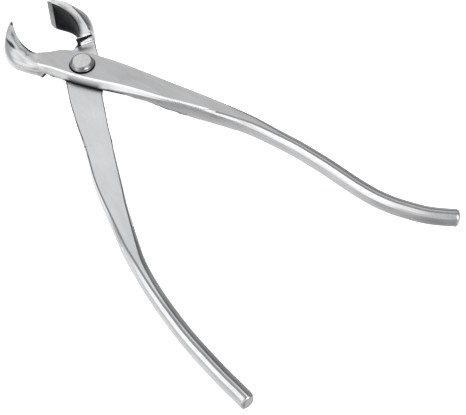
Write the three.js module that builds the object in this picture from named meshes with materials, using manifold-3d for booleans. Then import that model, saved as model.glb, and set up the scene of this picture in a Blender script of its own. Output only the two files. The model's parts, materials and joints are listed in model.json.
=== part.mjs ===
// Concave branch cutter: two forged steel levers that cross in a half-lap joint and turn on one rivet.
// Millimetres. +X runs from the jaws to the handles, +Z along the rivet towards its button head.
// The origin is on the rivet's axis, on the flat end of its headed tail behind the rear lever.
import * as THREE from "three";
import { mergeVertices } from "three/addons/utils/BufferGeometryUtils.js";
import Module from "manifold-3d";

const wasm = await Module();
wasm.setup();

// Levers, in each lever's own frame: x from the jaw to the handle, jaw on the -y side, rivet at the origin
const JAW_REACH = 38.5; // rivet axis to cutting edge
const HANDLE_LENGTH = 170; // rivet axis to handle end, along x
const LEVER_HEIGHT = 8.4; // jaw roots and plates, measured along the rivet
const HANDLE_HEIGHT = 7.4;
const PLATE_WIDTH = 14.9; // flat face of the lap plate at the rivet
const RIDGE_WIDTH = 1.4; // flat left along the top and bottom of the handles
const FRONT_OFFSET = 15; // middle of the front handle from the lever's axis
const REAR_OFFSET = 21; // middle of the rear handle from the lever's axis
const OPEN_ANGLE = 27.3; // degrees between the levers as they lie

// Sides of the levers: a ground bevel below the flat face, then a slightly crowned side
const PLATE_BEVEL_OUT = 0.3;
const HANDLE_BEVEL_OUT = 1.9;
const BEVEL_DOWN = 1.1;
const LAP_BEVEL_DOWN = 2.9; // the bevel takes most of the side beside the rivet
const JOINT_BEVEL_OUT = 0.85; // and cuts this much further into the flat face there, on the jaw side
const FRONT_NECK_INSET = 0; // how far the neck's mouth side is drawn in, both faces
const REAR_NECK_INSET = 2.2;
const NECK_LEAN = 0.6; // and how far it leans in from the outer face to the lap
const INNER_SWELL = 0.9; // extra width of the inner side beside the joint
const PLATE_CROWN = 0.15;
const HANDLE_CROWN = 0.3;
const END_ROUND = 1.6; // rounding at the handle ends

// Jaws: a flared, hollow-ground shell with a straight cutting edge parallel to the rivet
const EDGE_WIDTH = 15.8; // length of the cutting edge
const EDGE_LAND = 0.3; // thickness left at the cutting edge
const RIM_WIDTH = 4.2; // side face of the jaw, from its mouth to its back
const JAW_CROWN = 4.0; // how far the back bulges past the side faces
const JAW_BEVEL_OUT = 0.5;
const HOLLOW_DEPTH = 2.0;
const LIP = 0.8; // flat lip left around the ground hollow
const FRONT_CORNER = 0.4; // height taken off each edge's corner on the rivet head's side
const REAR_CORNER = 2; // and on the burr's side

// Half-lap joint
const LAP_GAP = 0.1; // running gap between the two lap faces
const SHOULDER_REACH = 14.6; // rivet axis to the step behind the jaw
const SHOULDER_FILLET = 1.0;
const RAMP_START = 22.5; // where the lap face begins to leave the mating plane, on the lever's axis
const RAMP_LENGTH = 45;
const RAMP_SLANT = 0.55; // the ramp's start moves this much towards the rivet per unit of y

// Rivet and burr
const SHANK_RADIUS = 3.4;
const RUNNING_CLEARANCE = 0.04;
const HEAD_RADIUS = 5.6;
const HEAD_FLAT_RADIUS = 4.1;
const HEAD_HEIGHT = 2.1;
const HEAD_RIM = 0.7; // height of the head's upright rim, below its rounding
const HEAD_TURN = 62; // degrees that the rounding turns through before it meets the flat
const HEAD_BASE_BREAK = 0.2; // small step in under the rim
const BURR_RADIUS = 5.2;
const BURR_THICKNESS = 1.3;
const BURR_BREAK = 0.4;
const TAIL_RADIUS = 4.1; // headed end of the shank, behind the burr
const TAIL_FLAT_RADIUS = 3.1;
const TAIL_HEIGHT = 0.9;
const TAIL_RIM = 0.45; // height of the tail's upright rim
const SEAT_GAP = 0.05; // between faces that bear on each other
const OVERRUN = 30; // how far a cut reaches past what it cuts

// Facets
const ROUND_STEPS = 64;
const JAW_STEPS = 2; // rings from one row of the jaw table to the next
const HANDLE_STEPS = 3;
const END_STEPS = 4;
const HEAD_STEPS = 6;
const RAMP_STEPS = 8;
const SIDE_SHARES = [0.8, 0.55, 0.28, 0, -0.28, -0.55, -0.8];
const SIDE_POWER = 2; // crown of the sides: a parabola on the handles
const BACK_POWER = 3; // and a fuller curve on the jaw's back
const MERGE_DISTANCE = 1e-4;

const PLATE_THICKNESS = LEVER_HEIGHT / 2;
const LAP_PLANE = TAIL_HEIGHT + SEAT_GAP + BURR_THICKNESS + SEAT_GAP + PLATE_THICKNESS;

// Jaw and front half of the plate, from the cutting edge to the rivet.
// x and y of the spine are shares of JAW_REACH. Then come the flat face's half width as a share from the edge
// land to the rim (0 to 1) and from the rim to the plate (1 to 2), the flare from LEVER_HEIGHT to EDGE_WIDTH,
// the back's bulge as a share of JAW_CROWN, the hollow's depth, the bevel's growth from jaw to plate and the
// growth of the neck's inset and lean.
const JAW_SHARES = [
  [-1.004, -0.004, 0.0, 1.0, 0.02, 0.0, 0.0, 0.0],
  [-0.992, -0.03, 0.25, 1.0, 0.1, 0.0, 0.0, 0.0],
  [-0.974, -0.058, 0.42, 0.99, 0.16, 0.0, 0.0, 0.0],
  [-0.955, -0.08, 0.58, 0.98, 0.22, 0.6, 0.0, 0.0],
  [-0.922, -0.119, 0.8, 0.94, 0.33, 0.9, 0.0, 0.0],
  [-0.87, -0.164, 0.97, 0.82, 0.5, 1.0, 0.0, 0.0],
  [-0.803, -0.197, 0.96, 0.66, 0.77, 1.0, 0.0, 0.0],
  [-0.73, -0.219, 0.92, 0.48, 0.93, 0.92, 0.0, 0.0],
  [-0.654, -0.231, 0.93, 0.3, 0.88, 0.65, 0.0, 0.0],
  [-0.58, -0.235, 0.99, 0.15, 0.68, 0.28, 0.0, 0.05],
  [-0.509, -0.225, 1.09, 0.05, 0.46, 0.05, 0.0, 0.3],
  [-0.444, -0.197, 1.25, 0.0, 0.24, 0.0, 0.2, 0.7],
  [-0.378, -0.171, 1.42, 0.0, 0.04, 0.0, 0.6, 1.0],
  [-0.323, -0.143, 1.57, 0.0, 0.0, 0.0, 1.0, 0.7],
  [-0.261, -0.107, 1.74, 0.0, 0.0, 0.0, 1.0, 0.45],
  [-0.194, -0.071, 1.87, 0.0, 0.0, 0.0, 1.0, 0.2],
  [-0.115, -0.042, 1.95, 0.0, 0.0, 0.0, 1.0, 0.05],
];

// Handles, from the rivet to the handle end: x as a share of HANDLE_LENGTH, y as a share of the handle's
// offset, the flat face's half width from RIDGE_WIDTH to PLATE_WIDTH, the growth of the side bevel outwards,
// how far the bevel's lower edge has still to rise from its depth beside the rivet, and the inner swell.
const FRONT_SHARES = [
  [0.0, -0.02, 1.0, 0.0, 1.0, 0.2],
  [0.054, 0.158, 0.95, 0.0, 0.9, 0.6],
  [0.111, 0.337, 0.8, 0.0, 0.6, 1.0],
  [0.169, 0.471, 0.68, 0.0, 0.3, 0.8],
  [0.227, 0.585, 0.595, 0.0, 0.1, 0.35],
  [0.284, 0.725, 0.475, 0.05, 0.0, 0.08],
  [0.342, 0.845, 0.36, 0.16, 0.0, 0.0],
  [0.4, 0.959, 0.235, 0.42, 0.0, 0.0],
  [0.457, 1.04, 0.12, 0.72, 0.0, 0.0],
  [0.531, 1.051, 0.02, 0.95, 0.0, 0.0],
  [0.577, 1.053, 0.0, 1.0, 0.0, 0.0],
  [0.623, 1.023, 0.0, 1.0, 0.0, 0.0],
  [0.67, 0.979, 0.0, 1.0, 0.0, 0.0],
  [0.718, 0.91, 0.0, 1.0, 0.0, 0.0],
  [0.764, 0.853, 0.0, 1.0, 0.0, 0.0],
  [0.808, 0.835, 0.0, 1.0, 0.0, 0.0],
  [0.848, 0.877, 0.0, 1.0, 0.0, 0.0],
  [0.885, 0.97, 0.0, 1.0, 0.0, 0.0],
  [0.921, 1.089, 0.0, 1.0, 0.0, 0.0],
  [0.954, 1.261, 0.0, 1.0, 0.0, 0.0],
  [0.991, 1.505, 0.0, 1.0, 0.0, 0.0],
];

const REAR_SHARES = [
  [0.0, 0.005, 1.0, 0.0, 1.0, 0.2],
  [0.045, 0.12, 0.976, 0.0, 1.0, 0.2],
  [0.082, 0.238, 0.859, 0.0, 0.8, 0.1],
  [0.126, 0.322, 0.815, 0.0, 0.55, 0.0],
  [0.166, 0.398, 0.765, 0.0, 0.35, 0.0],
  [0.203, 0.464, 0.709, 0.0, 0.2, 0.0],
  [0.241, 0.526, 0.684, 0.0, 0.1, 0.0],
  [0.277, 0.597, 0.653, 0.0, 0.03, 0.0],
  [0.331, 0.699, 0.649, 0.02, 0.0, 0.0],
  [0.384, 0.784, 0.58, 0.04, 0.0, 0.0],
  [0.435, 0.853, 0.455, 0.14, 0.0, 0.0],
  [0.486, 0.912, 0.344, 0.34, 0.0, 0.0],
  [0.546, 0.98, 0.225, 0.58, 0.0, 0.0],
  [0.601, 1.014, 0.08, 0.8, 0.0, 0.0],
  [0.667, 1.013, 0.019, 0.95, 0.0, 0.0],
  [0.737, 0.971, 0.0, 1.0, 0.0, 0.0],
  [0.808, 0.9, 0.0, 1.0, 0.0, 0.0],
  [0.878, 0.79, 0.0, 1.0, 0.0, 0.0],
  [0.93, 0.695, 0.0, 1.0, 0.0, 0.0],
  [0.965, 0.619, 0.0, 1.0, 0.0, 0.0],
  [1.0, 0.548, 0.0, 1.0, 0.0, 0.0],
];

const lerp = THREE.MathUtils.lerp;

// One row of real sizes for each row of a table of shares.
function jawRow(neckInset) {
  return ([x, y, width, flare, back, hollow, bevel, neck]) => {
    const rimHalf = lerp(EDGE_LAND, RIM_WIDTH, Math.min(width, 1)) / 2;
    const plateHalf = (PLATE_WIDTH - RIM_WIDTH) / 2;
    const half = rimHalf + plateHalf * Math.max(width - 1, 0);
    return {
      x: x * JAW_REACH,
      y: y * JAW_REACH,
      leftHalf: half - neckInset * neck,
      rightHalf: half - JOINT_BEVEL_OUT * bevel,
      height: lerp(LEVER_HEIGHT, EDGE_WIDTH, flare) / 2,
      leftOut: PLATE_BEVEL_OUT * bevel - NECK_LEAN * neck,
      rightOut: lerp(JAW_BEVEL_OUT * Math.min(width, 1), PLATE_BEVEL_OUT + JOINT_BEVEL_OUT, bevel),
      down: lerp(LIP, LAP_BEVEL_DOWN, bevel),
      leftCrown: PLATE_CROWN * bevel - HOLLOW_DEPTH * hollow,
      rightCrown: JAW_CROWN * back + PLATE_CROWN * bevel,
      back,
    };
  };
}

function handleRow(offset) {
  return ([x, y, width, bevel, lap, swell]) => {
    const half = lerp(RIDGE_WIDTH, PLATE_WIDTH, width) / 2;
    const out = lerp(PLATE_BEVEL_OUT, HANDLE_BEVEL_OUT, bevel);
    const crown = lerp(PLATE_CROWN, HANDLE_CROWN, bevel);
    const joint = JOINT_BEVEL_OUT * lap * lap;
    return {
      x: x * HANDLE_LENGTH,
      y: y * offset,
      leftHalf: half,
      rightHalf: half - joint,
      height: lerp(LEVER_HEIGHT, HANDLE_HEIGHT, bevel) / 2,
      leftOut: out,
      rightOut: out + joint + INNER_SWELL * swell,
      down: lerp(BEVEL_DOWN, LAP_BEVEL_DOWN, lap),
      leftCrown: crown,
      rightCrown: crown,
      back: 0,
    };
  };
}

// Smooth values between the rows, steps rings per row.
function stations(rows, stepsAt) {
  const keys = Object.keys(rows[0]);
  const places = rows.map((row, i) => i);
  const values = rows.flatMap((row) => keys.map((key) => row[key]));
  const smooth = new THREE.CubicInterpolant(places, values, keys.length);
  const straight = new THREE.LinearInterpolant(places, values, keys.length);
  const made = [];
  const at = (place) => {
    const curve = [...smooth.evaluate(place)];
    const line = [...straight.evaluate(place)];
    const row = Object.fromEntries(keys.map((key, k) => [key, line[k]]));
    row.x = curve[keys.indexOf("x")];
    row.y = curve[keys.indexOf("y")];
    row.leftHalf = Math.max(curve[keys.indexOf("leftHalf")], EDGE_LAND / 2);
    row.rightHalf = Math.max(curve[keys.indexOf("rightHalf")], EDGE_LAND / 2);
    row.height = curve[keys.indexOf("height")];
    row.rightCrown = curve[keys.indexOf("rightCrown")];
    return row;
  };
  for (let i = 0; i < rows.length - 1; i++) {
    const steps = stepsAt(i);
    for (let k = 0; k < steps; k++) made.push(at(i + k / steps));
  }
  made.push(at(rows.length - 1));
  return made;
}

// The directions across the spine at each station.
function addSides(list) {
  list.forEach((row, i) => {
    const a = list[Math.max(i - 1, 0)];
    const b = list[Math.min(i + 1, list.length - 1)];
    row.across = new THREE.Vector2(a.y - b.y, b.x - a.x).normalize();
  });
  return list;
}

// One closed ring of points: the flat face, the left side down, the bottom, the right side up.
function ring(row, grow = { wide: 1, high: 1 }) {
  const { top, bottom, down } = row;
  const point = (side, z) =>
    new THREE.Vector3(
      row.x + row.across.x * side * grow.wide,
      row.y + row.across.y * side * grow.wide,
      z * grow.high,
    );
  const side = (sign, half, out, crown) => {
    const points = [point(sign * half, top), point(sign * (half + out), top - down)];
    for (const share of SIDE_SHARES) {
      const z = share > 0 ? share * (top - down) : share * (bottom - down);
      const bulge = 1 - Math.abs(share) ** lerp(SIDE_POWER, BACK_POWER, row.back);
      points.push(point(sign * (half + out + crown * bulge), z));
    }
    points.push(point(sign * (half + out), down - bottom), point(sign * half, -bottom));
    return points;
  };
  const left = side(1, row.leftHalf, row.leftOut, row.leftCrown);
  const right = side(-1, row.rightHalf, row.rightOut, row.rightCrown);
  return [...left, ...right.reverse()];
}

// A closed surface through equal rings of points, with a fan at each end.
function loft(rings) {
  const count = rings[0].length;
  const points = rings.flat();
  const faces = [];
  for (let i = 0; i < rings.length - 1; i++) {
    for (let k = 0; k < count; k++) {
      const a = i * count + k;
      const b = i * count + ((k + 1) % count);
      faces.push(a, a + count, b, b, a + count, b + count);
    }
  }
  const cap = (start, first) => {
    const middle = new THREE.Vector3();
    for (let k = 0; k < count; k++) middle.add(points[start + k]);
    points.push(middle.divideScalar(count));
    for (let k = 0; k < count; k++) {
      const a = start + k;
      const b = start + ((k + 1) % count);
      faces.push(...(first ? [a, b] : [b, a]), points.length - 1);
    }
  };
  cap(0, true);
  cap((rings.length - 1) * count, false);
  const geometry = new THREE.BufferGeometry().setFromPoints(points);
  return geometry.setIndex(faces);
}

function solid(geometry) {
  const bare = geometry.clone();
  bare.deleteAttribute("normal");
  bare.deleteAttribute("uv");
  const merged = mergeVertices(bare, MERGE_DISTANCE);
  return new wasm.Manifold(
    new wasm.Mesh({
      numProp: 3,
      vertProperties: new Float32Array(merged.attributes.position.array),
      triVerts: new Uint32Array(merged.index.array),
    }),
  );
}

function geometryOf(manifold) {
  const mesh = manifold.getMesh();
  const geometry = new THREE.BufferGeometry();
  geometry.setAttribute("position", new THREE.BufferAttribute(mesh.vertProperties, 3));
  geometry.setIndex(new THREE.BufferAttribute(mesh.triVerts, 1));
  return geometry;
}

// Everything below the mating plane between the shoulder and the ramp, where the other lever crosses.
function lapCut() {
  const side = (y) => {
    const rampStart = RAMP_START - RAMP_SLANT * y;
    const level = LAP_GAP / 2;
    const low = -PLATE_THICKNESS - OVERRUN;
    const outline = [new THREE.Vector3(-SHOULDER_REACH, y, low)];
    for (let k = 0; k <= END_STEPS; k++) {
      const turn = (k / END_STEPS) * (Math.PI / 2);
      outline.push(
        new THREE.Vector3(
          -SHOULDER_REACH + SHOULDER_FILLET * (1 - Math.cos(turn)),
          y,
          level - SHOULDER_FILLET * (1 - Math.sin(turn)),
        ),
      );
    }
    for (let k = 0; k <= RAMP_STEPS; k++) {
      const share = k / RAMP_STEPS;
      const drop = (1 - Math.cos(share * Math.PI)) / 2;
      const z = lerp(level, -PLATE_THICKNESS - LAP_GAP, drop);
      outline.push(new THREE.Vector3(rampStart + share * RAMP_LENGTH, y, z));
    }
    outline.push(new THREE.Vector3(rampStart + RAMP_LENGTH, y, low));
    return outline;
  };
  return loft([side(OVERRUN), side(-OVERRUN)]);
}

function lever(rows, neckInset, topCorner, bottomCorner) {
  const jaw = JAW_SHARES.map(jawRow(neckInset));
  const stepsAt = (i) => (i < jaw.length ? JAW_STEPS : HANDLE_STEPS);
  const list = addSides(stations([...jaw, ...rows], stepsAt));
  list.forEach((row) => {
    row.top = row.height;
    row.bottom = row.height;
  });
  clipCorners(list, topCorner, bottomCorner);
  const rings = list.slice(0, -1).map((row) => ring(row));
  rings.push(...roundedEnd(list.at(-1)));
  const body = solid(loft(rings));
  const boreRadius = (SHANK_RADIUS + RUNNING_CLEARANCE) / Math.cos(Math.PI / ROUND_STEPS);
  const bore = new THREE.CylinderGeometry(boreRadius, boreRadius, OVERRUN, ROUND_STEPS);
  bore.rotateX(Math.PI / 2);
  return geometryOf(body.subtract(solid(lapCut())).subtract(solid(bore)));
}

// The corners of the cutting edge are taken off along short curves.
function clipCorners(list, topCorner, bottomCorner) {
  const edge = list[0];
  for (const row of list) {
    const back = Math.hypot(row.x - edge.x, row.y - edge.y);
    const drop = (size) => {
      const share = Math.max(1 - back / (size + EDGE_LAND), 0);
      return size * share * share;
    };
    row.top -= drop(topCorner);
    row.bottom -= drop(bottomCorner);
  }
}

// The handle's last rings draw in along a quarter circle.
function roundedEnd(row) {
  const wide = row.leftHalf + row.leftOut + row.leftCrown;
  const along = new THREE.Vector2(row.across.y, -row.across.x);
  const rings = [];
  for (let k = 0; k <= END_STEPS; k++) {
    const turn = (k / END_STEPS) * (Math.PI / 2);
    const inset = END_ROUND * (1 - Math.cos(turn));
    const back = END_ROUND * (1 - Math.sin(turn));
    const centre = { ...row, x: row.x - along.x * back, y: row.y - along.y * back };
    rings.push(ring(centre, { wide: 1 - inset / wide, high: 1 - inset / row.height }));
  }
  return rings;
}

function turned(profile) {
  const outline = profile.map(([radius, height]) => new THREE.Vector2(radius, height));
  const lathe = new THREE.LatheGeometry(outline, ROUND_STEPS);
  return lathe.rotateX(Math.PI / 2);
}

// Button head, shank and headed tail in one piece. Heights run from the tail's flat end.
function rivet() {
  const seat = LAP_PLANE + PLATE_THICKNESS + SEAT_GAP;
  const rounded = [];
  for (let k = 0; k <= HEAD_STEPS; k++) {
    const last = THREE.MathUtils.degToRad(HEAD_TURN);
    const turn = (k / HEAD_STEPS) * last;
    const inward = (1 - Math.cos(turn)) / (1 - Math.cos(last));
    const upward = Math.sin(turn) / Math.sin(last);
    rounded.push([lerp(HEAD_RADIUS, HEAD_FLAT_RADIUS, inward), seat + lerp(HEAD_RIM, HEAD_HEIGHT, upward)]);
  }
  return turned([
    [0, 0],
    [TAIL_FLAT_RADIUS, 0],
    [TAIL_RADIUS, TAIL_HEIGHT - TAIL_RIM],
    [TAIL_RADIUS, TAIL_HEIGHT],
    [SHANK_RADIUS, TAIL_HEIGHT],
    [SHANK_RADIUS, seat],
    [HEAD_RADIUS - HEAD_BASE_BREAK, seat],
    [HEAD_RADIUS, seat + HEAD_BASE_BREAK],
    ...rounded,
    [0, seat + HEAD_HEIGHT],
  ]);
}

function burr() {
  const low = TAIL_HEIGHT + SEAT_GAP;
  const high = low + BURR_THICKNESS;
  const bore = (SHANK_RADIUS + RUNNING_CLEARANCE) / Math.cos(Math.PI / ROUND_STEPS);
  return turned([
    [bore, low],
    [BURR_RADIUS - BURR_BREAK, low],
    [BURR_RADIUS, low + BURR_BREAK],
    [BURR_RADIUS, high],
    [bore, high],
    [bore, low],
  ]);
}

function steel(colour, roughness) {
  return new THREE.MeshStandardMaterial({ color: colour, roughness, metalness: 1 });
}

function named(name, geometry, material) {
  geometry.computeVertexNormals();
  const mesh = new THREE.Mesh(geometry, material);
  mesh.name = name;
  return mesh;
}

const halfAngle = THREE.MathUtils.degToRad(OPEN_ANGLE / 2);
const satin = steel(0xb4b5b7, 0.38);
const brushed = steel(0xc9cacc, 0.34);
const polished = steel(0xd8d8d9, 0.22);

const frontRows = FRONT_SHARES.map(handleRow(FRONT_OFFSET));
const frontLever = named("front_lever", lever(frontRows, FRONT_NECK_INSET, FRONT_CORNER, REAR_CORNER), satin);
frontLever.rotation.z = halfAngle;

// The rear lever is a like forging turned over about its own axis.
const rearRows = REAR_SHARES.map(handleRow(REAR_OFFSET));
const rearLever = named("rear_lever", lever(rearRows, REAR_NECK_INSET, REAR_CORNER, FRONT_CORNER), brushed);
rearLever.rotation.x = Math.PI;
const rearSide = new THREE.Group();
rearSide.rotation.z = -halfAngle;
rearSide.add(rearLever);

const levers = new THREE.Group();
levers.position.z = LAP_PLANE;
levers.add(frontLever, rearSide);

const tool = new THREE.Group();
tool.add(levers, named("pivot_rivet", rivet(), polished), named("rivet_burr", burr(), polished));

export default tool;
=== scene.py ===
import json
import math

import bpy
from mathutils import Matrix, Vector

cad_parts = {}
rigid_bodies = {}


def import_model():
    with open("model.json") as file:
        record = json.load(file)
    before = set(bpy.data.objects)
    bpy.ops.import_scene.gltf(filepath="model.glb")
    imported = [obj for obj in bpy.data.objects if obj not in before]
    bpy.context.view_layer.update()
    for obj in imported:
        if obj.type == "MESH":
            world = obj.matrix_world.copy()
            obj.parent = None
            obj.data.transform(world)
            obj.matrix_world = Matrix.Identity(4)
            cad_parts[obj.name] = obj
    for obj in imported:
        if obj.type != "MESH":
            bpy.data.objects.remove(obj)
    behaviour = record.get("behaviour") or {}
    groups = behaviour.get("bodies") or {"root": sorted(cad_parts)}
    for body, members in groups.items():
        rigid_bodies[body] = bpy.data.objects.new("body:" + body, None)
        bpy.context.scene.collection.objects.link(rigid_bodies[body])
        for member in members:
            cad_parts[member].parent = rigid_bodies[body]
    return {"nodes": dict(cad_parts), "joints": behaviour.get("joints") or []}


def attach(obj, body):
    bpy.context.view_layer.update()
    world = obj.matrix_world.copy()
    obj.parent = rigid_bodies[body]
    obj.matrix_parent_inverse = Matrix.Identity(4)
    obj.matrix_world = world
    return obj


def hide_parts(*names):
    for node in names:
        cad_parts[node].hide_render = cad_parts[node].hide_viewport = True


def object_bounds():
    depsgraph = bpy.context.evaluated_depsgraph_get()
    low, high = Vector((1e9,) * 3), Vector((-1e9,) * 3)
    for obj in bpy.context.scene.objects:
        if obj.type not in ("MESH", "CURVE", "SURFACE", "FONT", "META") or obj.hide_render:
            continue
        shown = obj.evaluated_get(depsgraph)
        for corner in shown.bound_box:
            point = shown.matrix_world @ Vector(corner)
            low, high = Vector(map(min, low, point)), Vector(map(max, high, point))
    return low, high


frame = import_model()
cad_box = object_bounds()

# Concave branch cutter in satin stainless steel. Metres, +Z along the rivet towards its button head.
MM = 0.001
LAP_PLANE = frame["joints"][0]["pos_m"][2]  # height of the plane between the two levers' plates

# The photograph's camera
IMAGE_WIDTH, IMAGE_HEIGHT = 466, 415
PIVOT_PIXEL = (83.4, 70.7)  # where the rivet's axis meets the lap plane
FOCAL_PIXELS = 1081.0
SENSOR_WIDTH = 36.0
CAMERA_DISTANCE = 462.6 * MM
CAMERA_AZIMUTH = math.radians(48.35)
CAMERA_ELEVATION = math.radians(54.0)
CLIP_START = 10 * MM

# Levers, in each lever's own axes: x from its jaw to its handle, y towards its mouth, z out of its outer
# face, with the rivet at the origin, in the lap plane
LEVER_ANGLE = math.radians(27.3 / 2)  # each lever from the +X axis
FRONT, REAR = LEVER_ANGLE, -LEVER_ANGLE
MERGE_DISTANCE = 0.002 * MM
SAME_FLAT = math.radians(0.4)  # triangles that differ less than this become one face
JAW_END = -15.0 * MM  # x where the jaw meets the plate
OUTER_FLAT = 3.4 * MM  # the outer flats lie further than this from the lap plane
PLATE_FACE = 4.3 * MM  # and the plate's own flat lies nearer than this
HOLLOW_START = -1.7 * MM  # y where the ground hollow begins behind the cutting bevel
HOLLOW_END = -19.5 * MM  # x of its root
CUTTING_END = -30.0 * MM  # x where the cutting bevel stops
STEP_START, STEP_END = -14.8 * MM, -13.8 * MM  # x of the step behind the jaw, with the curve at its foot
STEP_CORNER = Vector((0, -5.1 * MM, -1.3 * MM))  # the step is near black in all that is nearer to the mouth, painted shadow in the corner at its foot
STEP_SLANT = Vector((0, -0.28, 1))  # and all above a slanting line through this corner
MOUTH_WAY = Vector((0, 1, 0))
SHADED_END = -8.0 * MM  # x where the painted shadow on the plate's broken edge at the mouth stops

# How much of a direction a face's normal has
FLAT_LIMIT = 0.97  # flats, of the rivet's direction at least
UPRIGHT_LIMIT = 0.9  # upright faces, of the rivet's direction at most
HOLLOW_FACING = 0.3  # the hollow, towards the handle and the mouth
CUTTING_FACING = 0.1  # the cutting bevel, towards the mouth
STEP_FACING = 0.2  # the step, towards the handle
MOUTH_FACING = 0.3  # broken edges at the mouth
MATING_FACING = -0.2  # broken edges on the mating side

# Edges, by the angle between their two faces
FAINT_CREASE = math.radians(7)  # kept crisp in the shading
FLAT_CREASE = math.radians(18)  # edges of the flat bands
RIM_CREASE = math.radians(25)  # the jaw's outer crease on its mating side
RIDGE_CREASE = math.radians(36)  # ridges of the handle, buffed bright
SHARP_CREASE = math.radians(55)  # edges of flats and laps
ALONG_SHARE = 0.8  # an edge runs along the lever where x takes this share of its length
CREASE_START = -16.0 * MM  # x where the creases of the plate and the handle start
LINE_START = 50.0 * MM  # x from which the flats' edges are painted as dark lines of shade on the outer face too
RIDGE_START = 70.0 * MM  # x from which the mating side's ridges are buffed too
RIM_START = -32.0 * MM  # x where the jaw's outer crease starts
RIM_SIDE = -9.0 * MM  # and the y that it lies beyond
LINE_WIDTH = 0.42 * MM
RIDGE_WIDTH = 0.4 * MM
EDGE_BREAK = 0.52 * MM

# Oil and painted shade along the joint, a line and above it a painted haze of reflected shade: the heights
# between which each thins out up the sides, the x of its two ends, how far it fades past them, and its
# strength
OIL_AND_SHADE_LINE = (0.84 * MM, 1.44 * MM, -2.0 * MM, 22.0 * MM, 2.0 * MM, 1.0)
PAINTED_SHADE_HAZE = (0.72 * MM, 4.2 * MM, 0.0 * MM, 11.5 * MM, 3.0 * MM, 0.95)

# Oil and painted shadow round the rivet's head, thicker on its near side
RING_CENTRE = (0.26 * MM, -0.23 * MM)
RING_RADIUS = 5.45 * MM
RING_FADE = 0.3 * MM

# Hardening scale runs on over the rim of the hollow, inside a circle: its middle, its radius and how far it
# thins out past that
FRONT_SCALE = ((-22.9 * MM, 4.5 * MM), 12.6 * MM, 0.4 * MM)
REAR_SCALE = ((-23.6 * MM, 5.0 * MM), 12.9 * MM, 1.8 * MM)
SCALE_THINNING = 0.8 * MM  # it starts to thin out this far inside the circle
RIM_FADE = (-23.0 * MM, -19.0 * MM)  # x over which it ends on the front jaw's rim
WORN = (-28.0 * MM, -21.5 * MM)  # x over which the front hollow is worn bare towards its root
STREAK_CENTRE = (-31.4 * MM, -9.6 * MM, 6.05 * MM)  # a dark streak painted on the front jaw's back, near its tip
STREAK_SIZE = (5.4 * MM, 0.85 * MM, 1.1 * MM)
STREAK_TURN = math.radians(-19)
STREAK_EDGE = (0.4, 1.1)  # shares of its size between which it thins out
STREAK_STRENGTH = 0.95

# Patterns of the steel
GRAIN_LENGTH = 100 / 9 * MM
GRAIN_WIDTH = 5 / 16 * MM  # belt scratches are about 0.05 mm wide, and are drawn this wide so that they show
GRAIN_SHARE = 0.35
PATCH_LENGTH = 100 / 7 * MM  # uneven pressure on the belt
PATCH_WIDTH = 100 / 22 * MM
PATCH_SPREAD = (0.3, 0.7)
SMOOTHER, ROUGHER = 0.05, 0.06  # how far the patches change the roughness
TONE_SPREAD = (0.4, 0.9)
SCALE_PATCH = 10 / 7 * MM
SCALE_SPREAD = (0.3, 0.75)
SCALE_RELIEF = 0.02 * MM
CLOUD_SIZE = 2 * MM
CLOUD_SPREAD = (0.3, 0.7)
RING_SPACING = 0.3927 * MM  # turning rings are about 0.1 mm apart, and are drawn wider so that they show
RING_RELIEF = 0.004 * MM
WAVES_PER_UNIT = 10 / math.pi  # rings of the wave texture per unit of length at scale 1

# Rivet, as radius and height in mm, from its headed tail to the flat of its button head
RIVET_PROFILE = [
    (3.1, 0.0), (4.1, 0.45), (4.1, 0.9), (3.4, 0.9), (3.4, 10.75), (5.1, 10.75), (5.2, 10.85),
    (5.2, 11.15), (5.12, 11.5), (4.95, 11.9), (4.65, 12.25), (4.25, 12.6), (3.82, 12.85)]
TURNED_SIDES = 96
OIL_AND_SHADOW_LEVEL = 11.2 * MM  # the root of the head is painted black up to here: oil and painted shadow
SMOOTH_ANGLE = math.radians(20)  # the turned pieces keep their edges crisp above this

# Studio
FLOOR_SIZE = 1.6
FLOOR_MIDDLE = 0.05
FLOOR_LEVEL = cad_box[0][2] - 0.05 * MM
# Softboxes: name, place from the middle of the tool (right, away, up), width, depth and watts
SOFTBOXES = [
    ("overhead", -0.2, -0.05, 0.95, 0.8, 0.8, 0.35),
    ("key_left", -0.8, -0.05, 0.75, 0.5, 0.5, 0.25),
    ("edge_right", 0.65, -0.55, 0.5, 0.2, 0.3, 0.6)]
# Brightness of the white tent and the lit table, by the sine of the height, from -1, down, to 1, up
TENT = [
    (-1.0, 0.62), (-0.87, 0.7), (-0.7, 0.85), (-0.5, 0.95), (-0.3, 0.8), (-0.1, 0.42), (0.0, 0.33),
    (0.17, 0.36), (0.3, 0.65), (0.42, 0.95), (0.55, 1.0), (0.72, 0.95), (0.85, 0.95), (1.0, 1.0)]
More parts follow.
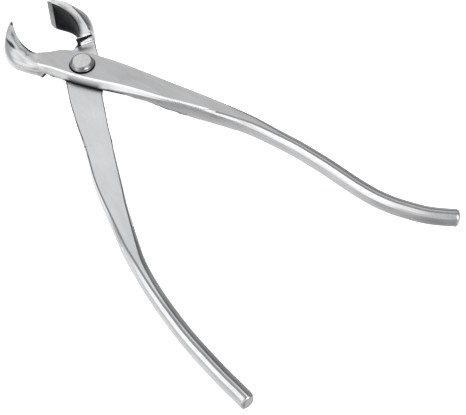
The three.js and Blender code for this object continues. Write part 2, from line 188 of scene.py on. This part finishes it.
# Brighter and darker patches of the tent, soft at their rims: direction (right, away, up), the angles of the
# rim's inside and outside in degrees, and what the patch adds
PATCHES = [
    ((-0.726, -0.631, 0.276), 12, 23, 0.65),  # on the near sides of the front lever
    ((-0.99, -0.08, 0.08), 12, 28, 0.3),  # on the left sides of the rear lever
    ((-0.692, -0.692, -0.208), 12, 26, 0.35),  # on the back of the front jaw
    ((-0.557, 0.321, -0.766), 20, 50, 0.35),  # under its tip
    ((-0.495, -0.142, 0.857), 9, 18, 0.35),  # on the near bevels and the handles' ends
    ((0.541, -0.601, 0.588), 9, 18, 2.2),  # the highlight on the rim of the rivet's head
    ((-0.918, -0.129, 0.375), 6, 16, -0.4),  # the rest are dark gaps between the tent's cloths
    ((0.299, 0.705, 0.643), 4, 13, -0.5),
    ((0.525, 0.84, 0.139), 8, 20, -0.15),
    ((0.533, 0.682, 0.5), 6, 18, -0.4),
    ((0.837, 0.224, 0.5), 12, 25, -0.5),
    ((-0.008, 0.454, 0.891), 2, 8, -0.95),
    ((-0.42, 0.66, 0.622), 7, 17, -0.25),
    ((-0.503, -0.621, -0.602), 5, 12, -0.4),
    ((0.105, -0.748, -0.656), 8, 30, -0.4),
    ((0.16, -0.441, 0.883), 5, 12, -0.4),
    ((0.0, -0.7, 0.7), 12, 25, -0.55)]


# Nodes

def rgb(hex_colour):
    """An sRGB hex colour as linear red, green, blue and alpha."""
    value = int(hex_colour.lstrip("#"), 16)
    parts = [((value >> shift) & 255) / 255 for shift in (16, 8, 0)]
    linear = [p / 12.92 if p <= 0.04045 else ((p + 0.055) / 1.055) ** 2.4 for p in parts]
    return (*linear, 1.0)


def add_node(tree, kind, settings=None, **links):
    """Adds a node. Settings are its properties, its ramp's stops or its unlinked inputs, and links feed the
    others: by name, or as i0 and i1 by number, each from a socket or from a node's first output."""
    node = tree.nodes.new(kind)
    for key, value in (settings or {}).items():
        if key == "stops":
            set_stops(node.color_ramp.elements, value)
        elif isinstance(key, int) or key in node.inputs:
            node.inputs[key].default_value = value
        else:
            setattr(node, key, value)
    for key, source in links.items():
        name = key.replace("_", " ")
        entry = node.inputs[name] if name in node.inputs else node.inputs[int(key[1:])]
        tree.links.new(source.outputs[0] if isinstance(source, bpy.types.Node) else source, entry)
    return node


def set_stops(elements, stops):
    """Sets a ramp's places and colours."""
    while len(elements) < len(stops):
        elements.new(1.0)
    for element, (place, colour) in zip(elements, stops):
        element.position = place
        element.color = colour


def smooth_step(start, end, low=0.0, high=1.0):
    """Settings that map a value to a smooth step from low to high between two places."""
    return {"interpolation_type": "SMOOTHSTEP",
            "From Min": start, "From Max": end, "To Min": low, "To Max": high}


def new_material(name):
    material = bpy.data.materials.new(name)
    material.use_nodes = True
    material.node_tree.nodes.clear()
    return material, material.node_tree


# Stains and painted shade, each as a share of the surface that it darkens

def between(tree, value, start, end, fade, share):
    """The share, between two places only."""
    rise = add_node(tree, "ShaderNodeMapRange", smooth_step(start - fade, start), Value=value)
    fall = add_node(tree, "ShaderNodeMapRange", smooth_step(end, end + fade, 1.0, 0.0), Value=value)
    inside = add_node(tree, "ShaderNodeMath", {"operation": "MULTIPLY"}, i0=rise, i1=fall)
    return add_node(tree, "ShaderNodeMath", {"operation": "MULTIPLY"}, i0=inside, i1=share)


def distance_from(tree, place, centre):
    """How far a place is from an upright axis."""
    flat = add_node(tree, "ShaderNodeVectorMath", {"operation": "MULTIPLY", 1: (1.0, 1.0, 0.0)}, i0=place)
    off = add_node(tree, "ShaderNodeVectorMath", {"operation": "DISTANCE", 1: centre}, i0=flat)
    return off.outputs["Value"]


def joint_oil_and_shade(tree, place, along):
    """Oil, dust and painted shade in the joint's corner: a dark line up the sides, a painted haze of shade
    above it.
    """
    height = add_node(tree, "ShaderNodeSeparateXYZ", Vector=place).outputs["Z"]
    above = add_node(tree, "ShaderNodeMath", {"operation": "SUBTRACT", 1: LAP_PLANE}, i0=height)
    away = add_node(tree, "ShaderNodeMath", {"operation": "ABSOLUTE"}, i0=above)
    length = add_node(tree, "ShaderNodeSeparateXYZ", Vector=along).outputs["X"]
    shares = []
    for low, high, start, end, fade, strength in (OIL_AND_SHADE_LINE, PAINTED_SHADE_HAZE):
        up = add_node(tree, "ShaderNodeMapRange", smooth_step(low, high, strength, 0.0), Value=away)
        shares.append(between(tree, length, start, end, fade, up))
    return add_node(tree, "ShaderNodeMath", {"operation": "MAXIMUM"}, i0=shares[0], i1=shares[1])


def rivet_oil_and_shadow(tree, place, along):
    """A thin dark ring of oil and painted shadow on the plate, round the edge of the rivet's head."""
    radius = distance_from(tree, place, (*RING_CENTRE, 0))
    return add_node(tree, "ShaderNodeMapRange",
                    smooth_step(RING_RADIUS, RING_RADIUS + RING_FADE, 1.0, 0.0), Value=radius)


def rear_rim_scale(tree, place, along):
    """Hardening scale that runs on over the rim of the rear jaw's hollow."""
    return scale_circle(tree, place, rear_axes, REAR_SCALE)


def front_rim_scale_and_dark_streak(tree, place, along):
    """The same on the front jaw, up to where it ends on the rim, and the streak on the jaw's back."""
    length = add_node(tree, "ShaderNodeSeparateXYZ", Vector=along).outputs["X"]
    kept = add_node(tree, "ShaderNodeMapRange", smooth_step(*RIM_FADE, 1.0, 0.0), Value=length)
    circle = scale_circle(tree, place, front_axes, FRONT_SCALE)
    on_rim = add_node(tree, "ShaderNodeMath", {"operation": "MULTIPLY"}, i0=circle, i1=kept)
    # the dark streak painted on the jaw's back
    spot = add_node(tree, "ShaderNodeMapping",
                    {"vector_type": "TEXTURE", "Location": front_axes.point(STREAK_CENTRE),
                     "Rotation": (0, 0, STREAK_TURN + FRONT), "Scale": STREAK_SIZE}, Vector=place)
    reach = add_node(tree, "ShaderNodeVectorMath", {"operation": "LENGTH"}, i0=spot).outputs["Value"]
    streak = add_node(tree, "ShaderNodeMapRange",
                      smooth_step(*STREAK_EDGE, STREAK_STRENGTH, 0.0), Value=reach)
    return add_node(tree, "ShaderNodeMath", {"operation": "MAXIMUM"}, i0=on_rim, i1=streak)


def scale_circle(tree, place, axes, circle):
    (x, y), radius, fade = circle
    off = distance_from(tree, place, axes.turn.transposed() @ Vector((x, y, 0)))
    return add_node(tree, "ShaderNodeMapRange",
                    smooth_step(radius - SCALE_THINNING, radius + fade, 1.0, 0.0), Value=off)


# Steels

# Stainless steel ground on a belt along the lever: a soft sheen, faint lengthwise grain and slow mottling
def satin_steel(name, colours, roughness, turn, relief, stain_and_shade=None):
    material, tree = new_material(name)
    place = add_node(tree, "ShaderNodeTexCoord").outputs["Object"]
    along = add_node(tree, "ShaderNodeMapping", {"Rotation": (0, 0, -turn)}, Vector=place)
    grain_place = add_node(tree, "ShaderNodeMapping",
                           {"Scale": (1 / GRAIN_LENGTH, 1 / GRAIN_WIDTH, 1 / GRAIN_WIDTH)}, Vector=along)
    grain = add_node(tree, "ShaderNodeTexNoise",
                     {"Scale": 1.0, "Detail": 3.0, "Roughness": 0.6}, Vector=grain_place)
    patch_place = add_node(tree, "ShaderNodeMapping",
                           {"Scale": (1 / PATCH_LENGTH, 1 / PATCH_WIDTH, 1 / PATCH_WIDTH)}, Vector=along)
    patches = add_node(tree, "ShaderNodeTexNoise",
                       {"Scale": 1.0, "Detail": 4.0, "Roughness": 0.55}, Vector=patch_place)
    mottling = add_node(tree, "ShaderNodeMath", {"operation": "MULTIPLY_ADD", 1: GRAIN_SHARE},
                        i0=grain, i2=patches)
    stops = [(TONE_SPREAD[0], rgb(colours[0])), (TONE_SPREAD[1], rgb(colours[1]))]
    tone = add_node(tree, "ShaderNodeValToRGB", {"stops": stops}, Fac=mottling)
    if stain_and_shade:
        # Where it is stained, and where shade is painted, the steel is nearly black.
        tone = add_node(tree, "ShaderNodeMixRGB", {"blend_type": "MULTIPLY", "Color2": rgb("#1e1e20")},
                        Fac=stain_and_shade(tree, place, along), Color1=tone)
    rough = add_node(tree, "ShaderNodeMapRange",
                     {"From Min": PATCH_SPREAD[0], "From Max": PATCH_SPREAD[1],
                      "To Min": roughness - SMOOTHER, "To Max": roughness + ROUGHER}, Value=patches)
    bump = add_node(tree, "ShaderNodeBump", {"Strength": 1.0, "Distance": relief}, Height=grain)
    shader = add_node(tree, "ShaderNodeBsdfPrincipled", {"Metallic": 1.0},
                      Base_Color=tone, Roughness=rough, Normal=bump)
    add_node(tree, "ShaderNodeOutputMaterial", Surface=shader)
    return material


# Blue-black scale of the hardening, left in the jaw's hollow: it reads nearly black beside the ground rim.
# Where it is worn, it thins out to bare steel towards the hollow's root.
def hardening_scale(name, turn, worn):
    material, tree = new_material(name)
    place = add_node(tree, "ShaderNodeTexCoord").outputs["Object"]
    cloud = add_node(tree, "ShaderNodeTexNoise",
                     {"Scale": 1 / SCALE_PATCH, "Detail": 5.0, "Roughness": 0.6}, Vector=place)
    stops = [(SCALE_SPREAD[0], rgb("#202123")), (SCALE_SPREAD[1], rgb("#303134"))]
    tone = add_node(tree, "ShaderNodeValToRGB", {"stops": stops}, Fac=cloud)
    if worn:
        along = add_node(tree, "ShaderNodeMapping", {"Rotation": (0, 0, -turn)}, Vector=place)
        length = add_node(tree, "ShaderNodeSeparateXYZ", Vector=along).outputs["X"]
        bare = add_node(tree, "ShaderNodeMapRange", smooth_step(*WORN), Value=length)
        tone = add_node(tree, "ShaderNodeMixRGB", {"Color2": rgb("#c4c5c7")}, Fac=bare, Color1=tone)
    bump = add_node(tree, "ShaderNodeBump", {"Strength": 0.4, "Distance": SCALE_RELIEF}, Height=cloud)
    shader = add_node(tree, "ShaderNodeBsdfPrincipled", {"Metallic": 1.0, "Roughness": 0.42},
                      Base_Color=tone, Normal=bump)
    add_node(tree, "ShaderNodeOutputMaterial", Surface=shader)
    return material


# Turned and polished stainless steel: bright, slightly cloudy, with fine rings from the lathe
def polished_steel(name, colours, roughness):
    material, tree = new_material(name)
    place = add_node(tree, "ShaderNodeTexCoord").outputs["Object"]
    rings = add_node(tree, "ShaderNodeTexWave",
                     {"wave_type": "RINGS", "rings_direction": "Z", "Distortion": 0.6, "Detail": 2.0,
                      "Scale": 1 / (WAVES_PER_UNIT * RING_SPACING)}, Vector=place)
    cloud = add_node(tree, "ShaderNodeTexNoise", {"Scale": 1 / CLOUD_SIZE, "Detail": 3.0}, Vector=place)
    stops = [(CLOUD_SPREAD[0], rgb(colours[0])), (CLOUD_SPREAD[1], rgb(colours[1]))]
    tone = add_node(tree, "ShaderNodeValToRGB", {"stops": stops}, Fac=cloud)
    bump = add_node(tree, "ShaderNodeBump", {"Strength": 0.25, "Distance": RING_RELIEF},
                    Height=rings.outputs["Fac"])
    shader = add_node(tree, "ShaderNodeBsdfPrincipled", {"Metallic": 1.0, "Roughness": roughness},
                      Base_Color=tone, Normal=bump)
    add_node(tree, "ShaderNodeOutputMaterial", Surface=shader)
    return material


# Mesh tools

def select_only(piece, faces=(), edges=()):
    """Leaves only these faces, or only these edges, selected."""
    mesh = piece.data
    mesh.vertices.foreach_set("select", [False] * len(mesh.vertices))
    mesh.edges.foreach_set("select", [False] * len(mesh.edges))
    mesh.polygons.foreach_set("select", [False] * len(mesh.polygons))
    for index in faces:
        mesh.polygons[index].select = True
    for index in edges:
        edge = mesh.edges[index]
        edge.select = True
        for corner in edge.vertices:
            mesh.vertices[corner].select = True


def take(piece):
    """Leaves only this piece selected, and makes it the active one."""
    bpy.ops.object.select_all(action="DESELECT")
    piece.select_set(True)
    bpy.context.view_layer.objects.active = piece


def edit(piece, mode):
    """Opens the piece's mesh for editing, in the mode for faces or edges."""
    take(piece)
    bpy.context.tool_settings.mesh_select_mode = (False, mode == "edges", mode == "faces")
    bpy.ops.object.mode_set(mode="EDIT")


def close(piece):
    """Closes the mesh and gives the numbers of the faces that are selected."""
    bpy.ops.object.mode_set(mode="OBJECT")
    return {face.index for face in piece.data.polygons if face.select}


def break_edges(piece, edges, width):
    """Bevels these edges and gives the numbers of the new faces."""
    select_only(piece, edges=edges)
    edit(piece, "edges")
    bpy.ops.mesh.bevel(offset=width, segments=1, affect="EDGES", clamp_overlap=False, loop_slide=False)
    return close(piece)


def declare(piece, body, node):
    """Puts the piece on its body and hides the node that it stands for."""
    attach(piece, body)
    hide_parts(node)


def merged_copy(node, name):
    """A new piece on the node's own surface, with its triangles joined and its flats cleaned."""
    piece = frame["nodes"][node].copy()
    piece.data = piece.data.copy()
    piece.name = name
    piece.data.name = name
    bpy.context.scene.collection.objects.link(piece)
    for key in list(piece.keys()):
        if key.startswith("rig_"):
            del piece[key]
    take(piece)
    bpy.ops.object.mode_set(mode="EDIT")
    bpy.ops.mesh.select_all(action="SELECT")
    bpy.ops.mesh.customdata_custom_splitnormals_clear()
    bpy.ops.mesh.remove_doubles(threshold=MERGE_DISTANCE)
    bpy.ops.mesh.mark_sharp(clear=True)
    bpy.ops.mesh.normals_make_consistent(inside=False)
    bpy.ops.mesh.dissolve_limited(angle_limit=SAME_FLAT)
    bpy.ops.object.mode_set(mode="OBJECT")
    return piece


class LeverAxes:
    """A lever's own axes: x from its jaw to its handle, y towards its mouth, z out of its outer face."""

    def __init__(self, turn, side):
        flip = Matrix.Diagonal((1, side, side))
        self.turn = flip @ Matrix.Rotation(-turn, 3, "Z")

    def place(self, point):
        return self.turn @ (point - Vector((0, 0, LAP_PLANE)))

    def direction(self, normal):
        return self.turn @ normal

    def point(self, place):
        """The point of the whole tool that is at this place in the lever's axes."""
        return self.turn.transposed() @ Vector(place) + Vector((0, 0, LAP_PLANE))


front_axes = LeverAxes(FRONT, 1)
rear_axes = LeverAxes(REAR, -1)


# Kinds of surface on a lever

def bevel_strips(piece, axes):
    """The bevels: every face that touches an outer flat."""
    faces = piece.data.polygons
    flats = {face.index for face in faces
             if abs(axes.direction(face.normal).z) > FLAT_LIMIT
             and abs(axes.place(face.center).z) > OUTER_FLAT}
    select_only(piece, flats)
    edit(piece, "faces")
    bpy.ops.mesh.select_more(use_face_step=True)
    return {index for index in close(piece) - flats
            if abs(axes.direction(faces[index].normal).z) < UPRIGHT_LIMIT}


def hollow_faces(piece, axes):
    """The ground hollow: the jaw's mouth side, without its flats."""
    found = set()
    for face in piece.data.polygons:
        where = axes.place(face.center)
        facing = axes.direction(face.normal)
        in_hollow = where.y < HOLLOW_START and where.x < HOLLOW_END
        if in_hollow and facing.x + facing.y > HOLLOW_FACING and abs(facing.z) < UPRIGHT_LIMIT:
            found.add(face.index)
    return found


def cutting_faces(piece, axes):
    """The cutting bevel, between the edge and the hollow."""
    found = set()
    for face in piece.data.polygons:
        where = axes.place(face.center)
        facing = axes.direction(face.normal)
        at_edge = where.x < CUTTING_END and where.y > HOLLOW_START
        if at_edge and abs(facing.z) < UPRIGHT_LIMIT and facing.y > CUTTING_FACING:
            found.add(face.index)
    return found


def step_faces(piece, axes):
    """The step behind the jaw, with the curve at its foot."""
    return {face.index for face in piece.data.polygons
            if STEP_START < axes.place(face.center).x < STEP_END
            and axes.direction(face.normal).x > STEP_FACING}


def cut_step(piece, axes):
    """Splits the step where its near-black part starts, below its outer edge and next to the mouth."""
    for direction in (STEP_SLANT, MOUTH_WAY):
        select_only(piece, step_faces(piece, axes))
        edit(piece, "faces")
        bpy.ops.mesh.bisect(plane_co=axes.point(STEP_CORNER), plane_no=axes.turn.transposed() @ direction)
        close(piece)


def shaded_faces(piece, axes):
    """The outer part of the step and its mouth end."""
    found = set()
    for index in step_faces(piece, axes):
        off = axes.place(piece.data.polygons[index].center) - STEP_CORNER
        if off.dot(STEP_SLANT) < 0 or off.y > 0:
            found.add(index)
    return found


# Edges of a lever

def creases(piece, axes):
    """Each edge that runs along, as number, angle, two ends, whether it borders a flat, and its lean out."""
    mesh = piece.data
    sides = {}
    for face in mesh.polygons:
        for key in face.edge_keys:
            sides.setdefault(key, []).append(axes.direction(face.normal))
    found = []
    for edge in mesh.edges:
        a, b = (axes.place(mesh.vertices[v].co) for v in edge.vertices)
        pair = sides.get(edge.key, [])
        if len(pair) == 2 and abs((b - a).x) > ALONG_SHARE * (b - a).length:
            angle = pair[0].angle(pair[1], 0.0)
            beside_flat = max(abs(pair[0].z), abs(pair[1].z)) > UPRIGHT_LIMIT
            found.append((edge.index, angle, (a, b), beside_flat, (pair[0] + pair[1]).z))
    return found


def handle_creases(piece, axes):
    """Creases of the plate and the handle, as number, angle, x, whether they border a flat, and lean."""
    return [(index, angle, min(end.x for end in ends), beside_flat, lean)
            for index, angle, ends, beside_flat, lean in creases(piece, axes)
            if min(end.x for end in ends) > CREASE_START]


def flat_lines(piece, axes):
    """Edges of the flat bands, on the mating side and along the handle."""
    return [index for index, angle, x, beside_flat, lean in handle_creases(piece, axes)
            if angle > FLAT_CREASE and beside_flat
            and (lean < 0 or x > LINE_START and angle <= SHARP_CREASE)]


def side_ridges(piece, axes):
    """Ridges between the bevels and the sides, on the outer face and on both sides of the handle."""
    return [index for index, angle, x, beside_flat, lean in handle_creases(piece, axes)
            if RIDGE_CREASE < angle <= SHARP_CREASE and not beside_flat
            and (lean > 0 or x > RIDGE_START)]


def edges_over(piece, axes, least):
    """Creases of the plate and the handle that turn through more than this."""
    return [index for index, angle, x, beside_flat, lean in handle_creases(piece, axes)
            if angle > least]


def rim_edges(piece, axes):
    """The outer crease of the jaw, on its mating side."""
    return [index for index, angle, ends, beside_flat, lean in creases(piece, axes)
            if angle > RIM_CREASE
            and all(RIM_START < end.x < CREASE_START and end.y < RIM_SIDE and end.z < 0 for end in ends)]


# Finishes

FLAT, SIDE, BEVEL, HOLLOW, SHADED, JAW, CUTTING, EDGE = range(8)


def front_finishes():
    """The front lever's finishes, from FLAT to EDGE."""
    return (
        # Belt-ground flat: mid grey, soft, with the rivet's ring of oil and painted shadow
        satin_steel("satin_steel_front", ("#b5b6b8", "#cdcecf"), 0.34, FRONT, 0.004 * MM, rivet_oil_and_shadow),
        # Ground sides: the same grey, a little glossier, darkened by oil and painted shade beside the joint
        satin_steel("ground_steel_front", ("#b4b5b7", "#cccdcf"), 0.26, FRONT, 0.003 * MM, joint_oil_and_shade),
        # Buffed bevels: nearly white lines along the flats, darkened by oil and painted shade beside the
        # joint
        satin_steel("buffed_steel_front", ("#d6d7d9", "#e4e5e6"), 0.2, FRONT, 0.002 * MM, joint_oil_and_shade),
        # Scale in the hollow: near black, worn to bare steel at its root
        hardening_scale("hardening_scale_front", FRONT, True),
        # The step: near black all over, with painted shadow in its corner at the mouth
        hardening_scale("shaded_step_front", FRONT, False),
        # Polished jaw: clear streaks of light, with scale on the rim and a dark streak on the back
        satin_steel("jaw_steel_front", ("#bebfc1", "#d1d2d4"), 0.22, FRONT, 0.003 * MM, front_rim_scale_and_dark_streak),
        # Ground cutting bevel: a darker grey band behind the edge
        satin_steel("cutting_bevel_front", ("#8c8d8f", "#a6a7a9"), 0.3, FRONT, 0.003 * MM),
        # Broken edges: thin dark grey lines of painted shade, with oil and more painted shade beside the
        # joint
        satin_steel("shaded_edge_front", ("#808184", "#909194"), 0.3, FRONT, 0.003 * MM, joint_oil_and_shade))


def rear_finishes():
    """The rear lever's finishes, from FLAT to EDGE. They are lighter than the front lever's."""
    return (
        # Belt-ground flat: light grey and soft
        satin_steel("satin_steel_rear", ("#d3d4d6", "#e5e6e8"), 0.32, REAR, 0.004 * MM),
        # Ground sides: mid grey, darkened by oil and painted shade beside the joint
        satin_steel("ground_steel_rear", ("#b8b9bb", "#cbccce"), 0.26, REAR, 0.003 * MM, joint_oil_and_shade),
        # Buffed bevels: nearly white lines along the flats
        satin_steel("buffed_steel_rear", ("#d8d9db", "#e6e7e8"), 0.2, REAR, 0.002 * MM),
        # Scale in the hollow: near black; the step: near black, with painted shadow in its corner at the
        # mouth
        hardening_scale("hardening_scale_rear", REAR, False),
        hardening_scale("shaded_step_rear", REAR, False),
        # Polished jaw: bright, with scale that runs on over the hollow's rim
        satin_steel("jaw_steel_rear", ("#e0e1e3", "#eff0f1"), 0.24, REAR, 0.003 * MM, rear_rim_scale),
        # Ground cutting bevel: a darker grey band behind the edge
        satin_steel("cutting_bevel_rear", ("#8c8d8f", "#a6a7a9"), 0.3, REAR, 0.003 * MM),
        # Broken edges: thin dark grey lines of painted shade
        satin_steel("shaded_edge_rear", ("#808184", "#909194"), 0.3, REAR, 0.003 * MM))


def rivet_finishes():
    """The rivet's finishes: its rounded rim, its flat top and the root of its head."""
    return (
        # Polished rim: dark, with one clear highlight
        polished_steel("turned_rivet_rim", ("#9c9c9e", "#acacae"), 0.13),
        # Faced top: an even light grey
        polished_steel("faced_rivet_steel", ("#c9c9ca", "#d9d9da"), 0.16),
        # Oil and painted shadow at the root of the head: a black line round it
        polished_steel("oil_and_shadow_rivet_root", ("#2c2c2e", "#3a3a3c"), 0.3))


def burr_finish():
    # Turned washer: as light as the rivet and duller
    return polished_steel("turned_burr_steel", ("#c9c9ca", "#d9d9da"), 0.32)


# Pieces

def finish_surfaces(piece, finishes, axes):
    """Gives each face of a lever the finish of its kind of surface."""
    strips = bevel_strips(piece, axes)
    cutting = cutting_faces(piece, axes)
    hollow = hollow_faces(piece, axes)
    shaded = shaded_faces(piece, axes)
    piece.data.materials.clear()
    for finish in finishes:
        piece.data.materials.append(finish)
    for face in piece.data.polygons:
        where = axes.place(face.center)
        upright = abs(axes.direction(face.normal).z) < UPRIGHT_LIMIT
        on_plate = not upright and OUTER_FLAT < where.z < PLATE_FACE
        face.material_index = SIDE if upright else FLAT
        if face.index in strips:
            face.material_index = BEVEL
        if where.x < JAW_END and not on_plate:
            face.material_index = JAW
        if face.index in cutting:
            face.material_index = CUTTING
        if face.index in hollow:
            face.material_index = HOLLOW
        if face.index in shaded:
            face.material_index = SHADED


def break_lever_edges(piece, axes):
    """Breaks a lever's edges and buffs its ridges, and gives the narrow new faces their finish."""
    faces = piece.data.polygons
    # the broken edges that take EDGE are painted as dark grey lines of shade
    for index in break_edges(piece, rim_edges(piece, axes), EDGE_BREAK):
        faces[index].material_index = EDGE
    for index in break_edges(piece, flat_lines(piece, axes), LINE_WIDTH):
        faces[index].material_index = EDGE
    for index in break_edges(piece, side_ridges(piece, axes), RIDGE_WIDTH):
        faces[index].material_index = BEVEL
    for index in break_edges(piece, edges_over(piece, axes, SHARP_CREASE), EDGE_BREAK):
        facing = axes.direction(faces[index].normal)
        faces[index].material_index = EDGE if facing.z < MATING_FACING else BEVEL
        # the broken edge at the mouth is painted with the step's shadow
        if axes.place(faces[index].center).x < SHADED_END and facing.y > MOUTH_FACING:
            faces[index].material_index = SHADED


def shade_lever(piece, axes):
    """Smooth shading that keeps the flats flat and the creases along the plate and the handle crisp."""
    select_only(piece, edges=edges_over(piece, axes, FAINT_CREASE))
    edit(piece, "edges")
    bpy.ops.mesh.mark_sharp()
    close(piece)
    take(piece)
    bpy.ops.object.shade_smooth(keep_sharp_edges=True)
    weigh = piece.modifiers.new("even_shading", "WEIGHTED_NORMAL")
    weigh.mode = "FACE_AREA"
    weigh.weight = 50
    weigh.keep_sharp = True
    bpy.ops.object.modifier_apply(modifier="even_shading")


def ground_lever(name, node, finishes, axes):
    """A lever on its forging's own shape, with a finish for each kind of surface."""
    piece = merged_copy(node, name)
    cut_step(piece, axes)
    finish_surfaces(piece, finishes, axes)
    break_lever_edges(piece, axes)
    shade_lever(piece, axes)
    return piece


def turned_rivet(name, finishes):
    """The rivet, drawn up ring by ring from its tail, with a crisp edge round the flat of its head."""
    rings = [(radius * MM, height * MM) for radius, height in RIVET_PROFILE]
    bpy.ops.object.select_all(action="DESELECT")
    bpy.ops.mesh.primitive_circle_add(vertices=TURNED_SIDES, radius=rings[0][0], fill_type="NGON")
    piece = bpy.context.object
    piece.name = name
    piece.data.name = name
    edit(piece, "faces")
    bpy.ops.mesh.select_all(action="SELECT")
    for (before, low), (radius, height) in zip(rings, rings[1:]):
        share = radius / before
        bpy.ops.mesh.extrude_region_move(TRANSFORM_OT_translate={"value": (0, 0, height - low)})
        bpy.ops.transform.resize(value=(share, share, 1), center_override=(0, 0, height))
    bpy.ops.mesh.select_all(action="SELECT")
    bpy.ops.mesh.normals_make_consistent(inside=False)
    close(piece)
    bpy.ops.object.shade_smooth_by_angle(angle=SMOOTH_ANGLE)
    for finish in finishes:
        piece.data.materials.append(finish)
    for face in piece.data.polygons:
        # faces below this level take the black of oil and painted shadow
        if face.center.z < OIL_AND_SHADOW_LEVEL:
            face.material_index = 2
        elif face.normal.z > FLAT_LIMIT:
            face.material_index = 1
    return piece


def turned_burr(name, finish):
    """The burr, on its own turned shape."""
    piece = merged_copy("rivet_burr", name)
    piece.data.materials.clear()
    piece.data.materials.append(finish)
    bpy.ops.object.shade_smooth_by_angle(angle=SMOOTH_ANGLE)
    return piece


front_lever = ground_lever("front_lever_ground", "front_lever", front_finishes(), front_axes)
declare(front_lever, "front_half", "front_lever")
rear_lever = ground_lever("rear_lever_ground", "rear_lever", rear_finishes(), rear_axes)
declare(rear_lever, "rear_half", "rear_lever")
rivet = turned_rivet("pivot_rivet_polished", rivet_finishes())
declare(rivet, "rear_half", "pivot_rivet")
burr = turned_burr("rivet_burr_turned", burr_finish())
declare(burr, "rear_half", "rivet_burr")


# Studio

# Matt white paper lit from below: an even white ground that gives no reflection
def light_table():
    material, tree = new_material("white_light_table")
    shader = add_node(tree, "ShaderNodeBsdfPrincipled",
                      {"Base Color": rgb("#e8e8e8"), "Roughness": 0.9,
                       "Emission Color": (1, 1, 1, 1), "Emission Strength": 1.0})
    add_node(tree, "ShaderNodeOutputMaterial", Surface=shader)
    return material


def studio_floor():
    bpy.ops.object.select_all(action="DESELECT")
    bpy.ops.mesh.primitive_plane_add(size=FLOOR_SIZE, location=(FLOOR_MIDDLE, 0, FLOOR_LEVEL))
    floor = bpy.context.object
    floor.name = "studio_floor"
    floor.data.materials.append(light_table())
    floor.visible_glossy = False


def camera_axes():
    """The photograph's right, up, back and level forward directions."""
    right = Vector((math.cos(CAMERA_AZIMUTH), math.sin(CAMERA_AZIMUTH), 0))
    forward = Vector((-math.sin(CAMERA_AZIMUTH), math.cos(CAMERA_AZIMUTH), 0))
    back = -forward * math.cos(CAMERA_ELEVATION) + Vector((0, 0, math.sin(CAMERA_ELEVATION)))
    up = forward * math.sin(CAMERA_ELEVATION) + Vector((0, 0, math.cos(CAMERA_ELEVATION)))
    return right, up, back, forward


def softbox(name, across, ahead, height, width, depth, watts):
    """A soft light, placed from the middle of the tool along the photograph's own directions."""
    light = bpy.data.lights.new(name, "AREA")
    light.shape = "RECTANGLE"
    light.size, light.size_y = width, depth
    light.energy = watts
    lamp = bpy.data.objects.new(name, light)
    bpy.context.scene.collection.objects.link(lamp)
    middle = (Vector(cad_box[0]) + Vector(cad_box[1])) / 2
    lamp.location = middle + right * across + forward * ahead + Vector((0, 0, height))
    lamp.rotation_euler = (middle - lamp.location).to_track_quat("-Z", "Y").to_euler()


def glow(tree, facing, towards, inner, outer, level, under):
    """Adds a soft patch of light to the tent, or takes one away."""
    aim = Vector(towards).normalized()
    nearness = add_node(tree, "ShaderNodeVectorMath", {"operation": "DOT_PRODUCT", 1: aim}, i0=facing)
    share = add_node(tree, "ShaderNodeMapRange",
                     smooth_step(math.cos(math.radians(outer)), math.cos(math.radians(inner)), 0.0, level),
                     Value=nearness.outputs["Value"])
    return add_node(tree, "ShaderNodeVectorMath", {"operation": "ADD"}, i0=under, i1=share)


def studio_tent():
    """A white tent round the tool, brighter and darker in places. The camera itself sees plain white."""
    world = bpy.data.worlds.new("studio_tent")
    bpy.context.scene.world = world
    world.use_nodes = True
    tree = world.node_tree
    tree.nodes.clear()
    place = add_node(tree, "ShaderNodeTexCoord").outputs["Generated"]
    facing = add_node(tree, "ShaderNodeMapping", {"Rotation": (0, 0, -CAMERA_AZIMUTH)}, Vector=place)
    sine = add_node(tree, "ShaderNodeSeparateXYZ", Vector=facing).outputs["Z"]
    height = add_node(tree, "ShaderNodeMapRange", {"From Min": -1.0, "From Max": 1.0}, Value=sine)
    stops = [((z + 1) / 2, (level, level, level, 1.0)) for z, level in TENT]
    sky = add_node(tree, "ShaderNodeValToRGB", {"stops": stops}, Fac=height)
    for towards, inner, outer, level in PATCHES:
        sky = glow(tree, facing, towards, inner, outer, level, sky)
    seen = add_node(tree, "ShaderNodeLightPath").outputs["Is Camera Ray"]
    lit = add_node(tree, "ShaderNodeBackground", {"Strength": 1.0}, Color=sky)
    plain = add_node(tree, "ShaderNodeBackground", {"Color": (1.0, 1.0, 1.0, 1.0), "Strength": 1.0})
    either = add_node(tree, "ShaderNodeMixShader", Fac=seen, i1=lit, i2=plain)
    add_node(tree, "ShaderNodeOutputWorld", Surface=either)


def photo_camera():
    """The camera, where the photograph's was, with the rivet at its pixel."""
    data = bpy.data.cameras.new("photo_camera")
    data.sensor_fit = "HORIZONTAL"
    data.sensor_width = SENSOR_WIDTH
    data.lens = FOCAL_PIXELS / IMAGE_WIDTH * SENSOR_WIDTH
    data.clip_start = CLIP_START
    camera = bpy.data.objects.new("photo_camera", data)
    bpy.context.scene.collection.objects.link(camera)
    off_right = (PIVOT_PIXEL[0] - IMAGE_WIDTH / 2) / FOCAL_PIXELS * CAMERA_DISTANCE
    off_up = (IMAGE_HEIGHT / 2 - PIVOT_PIXEL[1]) / FOCAL_PIXELS * CAMERA_DISTANCE
    pivot = Vector((0, 0, LAP_PLANE))
    camera.location = pivot - right * off_right - up * off_up + back * CAMERA_DISTANCE
    camera.rotation_euler = Matrix((right, up, back)).transposed().to_euler()
    return camera


right, up, back, forward = camera_axes()
studio_floor()
for box in SOFTBOXES:
    softbox(*box)
studio_tent()
bpy.context.scene.camera = photo_camera()
bpy.context.scene.view_settings.view_transform = "Standard"
